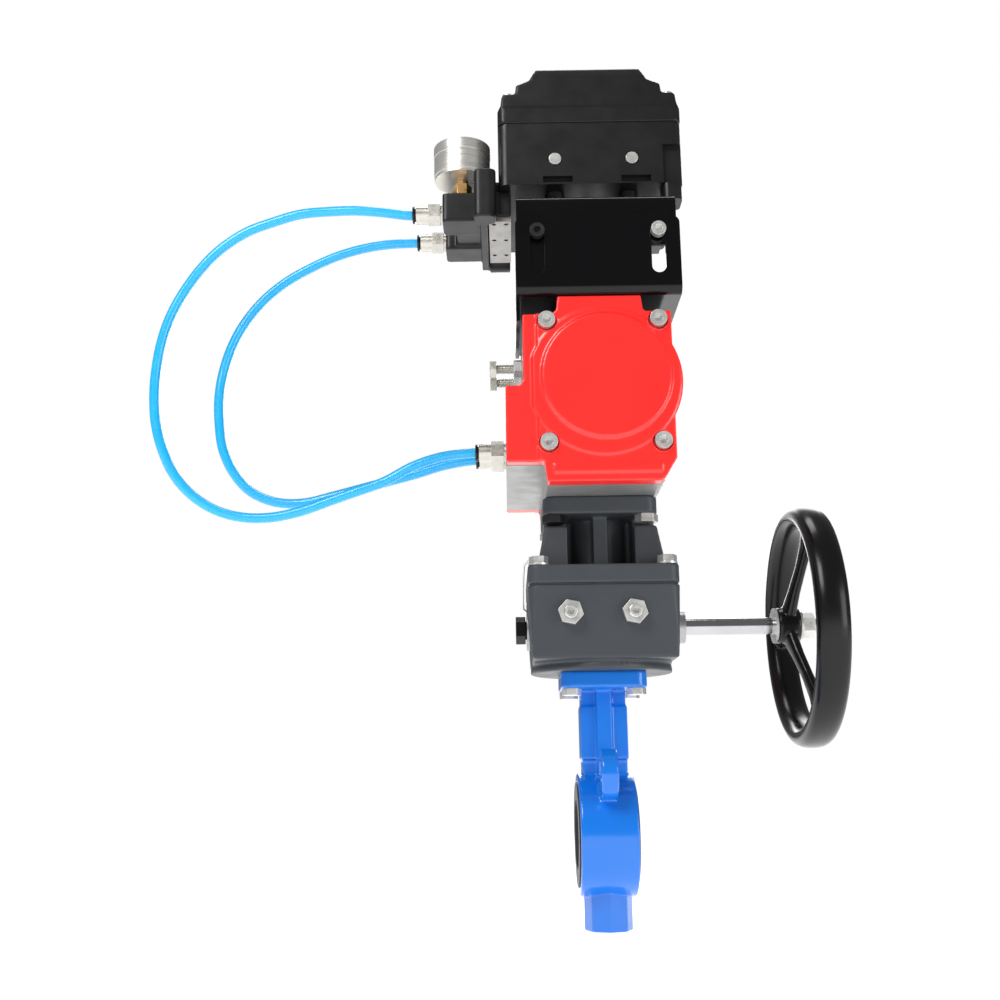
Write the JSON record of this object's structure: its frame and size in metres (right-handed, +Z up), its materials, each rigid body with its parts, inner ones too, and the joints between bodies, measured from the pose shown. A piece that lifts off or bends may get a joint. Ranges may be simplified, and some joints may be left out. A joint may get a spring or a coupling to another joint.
{
  "type": "rotary pneumatic actuator",
  "caption": "Quarter-turn pneumatic actuator with positioner, air tubes, declutchable handwheel gearbox and a wafer butterfly valve below.",
  "frame": {"origin": "centre of the valve bore, midway between the two pipe faces", "axes": "+X along the pipe axis towards the handwheel, +Z up the stem to the positioner, +Y towards the cable entries"},
  "size_m": [0.547, 0.2467, 0.6825],
  "materials": {
    "valve_blue": "gloss",
    "seat_rubber": "matt",
    "stainless": "fine brushed",
    "bronze": "machined",
    "zinc_steel": "zinc plated",
    "charcoal_paint": "satin powder coat",
    "machined_steel": "turned",
    "black_oxide": "black oxide",
    "black_plastic": "satin",
    "hard_chrome": "polished",
    "gloss_black": "gloss",
    "grey_alloy": "fine blasted and anodised",
    "red_paint": "gloss",
    "bare_alloy": "machined",
    "nickel": "nickel plated",
    "black_housing": "satin textured",
    "board_green": "solder mask",
    "dial_white": "printed",
    "tube_blue": "polyurethane"
  },
  "bodies": {
    "frame": {"valve_body": "valve_blue", "valve_seat": "seat_rubber", "cap_seals": "seat_rubber", "housing_gasket": "seat_rubber", "gauge_case": "stainless", "stem_bushes": "bronze", "wheel_bushes": "bronze", "pinion_bushes": "bronze", "gauge_stem": "bronze", "bottom_plug": "zinc_steel", "flange_bolts": "zinc_steel", "cover_bolts": "zinc_steel", "tower_bolts": "zinc_steel", "stop_screws": "zinc_steel", "stop_nuts": "zinc_steel", "cap_screws": "zinc_steel", "travel_stop_bolts": "zinc_steel", "travel_stop_nuts": "zinc_steel", "bracket_screws": "zinc_steel", "positioner_screws": "zinc_steel", "lock_wire": "zinc_steel", "gearbox_housing": "charcoal_paint", "tower_cover": "charcoal_paint", "black_fasteners": "black_oxide", "lower_bracket": "gloss_black", "upper_bracket": "gloss_black", "actuator_body": "grey_alloy", "front_cap": "red_paint", "rear_cap": "red_paint", "relay_plate": "bare_alloy", "push_in_fittings": "nickel", "positioner_base": "black_housing", "positioner_cover": "black_housing", "manifold": "black_housing", "control_board": "board_green", "gauge_dial": "dial_white", "tube_near": "tube_blue", "tube_far": "tube_blue"},
    "drive_train": {"valve_disc": "stainless", "valve_stem": "stainless", "worm_wheel": "bronze", "drive_coupling": "machined_steel", "pinion": "machined_steel", "stop_cam": "machined_steel", "pinion_circlip": "zinc_steel", "feedback_shaft": "stainless"},
    "front_ram": {"front_piston": "bare_alloy", "front_piston_seal": "seat_rubber"},
    "rear_ram": {"rear_piston": "bare_alloy", "rear_piston_seal": "seat_rubber"},
    "clutch": {"clutch_sleeve": "machined_steel", "clutch_knob": "black_plastic"},
    "hand_drive": {"worm_shaft": "hard_chrome", "handwheel": "gloss_black", "hub_fasteners": "zinc_steel"},
    "pointer": {"gauge_needle": "stainless"},
    "collet_port_near": {"port_ring_near": "black_plastic"},
    "collet_port_far": {"port_ring_far": "black_plastic"},
    "collet_output_near": {"output_ring_near": "black_plastic"},
    "collet_output_far": {"output_ring_far": "black_plastic"}
  },
  "joints": [
    {"name": "quarter_turn", "type": "hinge", "parent": "frame", "child": "drive_train", "pos_m": [0, 0, 0], "axis": [0, 0, 1], "range_deg": [0, 90]},
    {"name": "front_piston_slide", "type": "slide", "parent": "frame", "child": "front_ram", "axis": [0, -1, 0], "range_m": [0, 0.0236]},
    {"name": "rear_piston_slide", "type": "slide", "parent": "frame", "child": "rear_ram", "axis": [0, 1, 0], "range_m": [0, 0.0236]},
    {"name": "clutch_turn", "type": "hinge", "parent": "frame", "child": "clutch", "pos_m": [0, 0.03996, 0.1614], "axis": [1, 0, 0], "range_deg": [0, 120]},
    {"name": "handwheel_spin", "type": "hinge", "parent": "clutch", "child": "hand_drive", "pos_m": [0, 0.04273, 0.163], "axis": [1, 0, 0], "continuous": true},
    {"name": "gauge_pointer", "type": "hinge", "parent": "frame", "child": "pointer", "pos_m": [-0.106, -0.038, 0.55], "axis": [0, 0, -1], "range_deg": [0, 270], "stiffness_Nm_per_rad": 0.0005},
    {"name": "collet_port_near_press", "type": "slide", "parent": "frame", "child": "collet_port_near", "axis": [1, 0, 0], "range_m": [0, 0.0008], "stiffness_N_per_m": 500},
    {"name": "collet_port_far_press", "type": "slide", "parent": "frame", "child": "collet_port_far", "axis": [1, 0, 0], "range_m": [0, 0.0008], "stiffness_N_per_m": 500},
    {"name": "collet_output_near_press", "type": "slide", "parent": "frame", "child": "collet_output_near", "axis": [1, 0, 0], "range_m": [0, 0.0008], "stiffness_N_per_m": 500},
    {"name": "collet_output_far_press", "type": "slide", "parent": "frame", "child": "collet_output_far", "axis": [1, 0, 0], "range_m": [0, 0.0008], "stiffness_N_per_m": 500}
  ],
  "couplings": [
    {"joint": "front_piston_slide", "follows": "quarter_turn", "m_per_rad": 0.015},
    {"joint": "rear_piston_slide", "follows": "quarter_turn", "m_per_rad": 0.015}
  ]
}
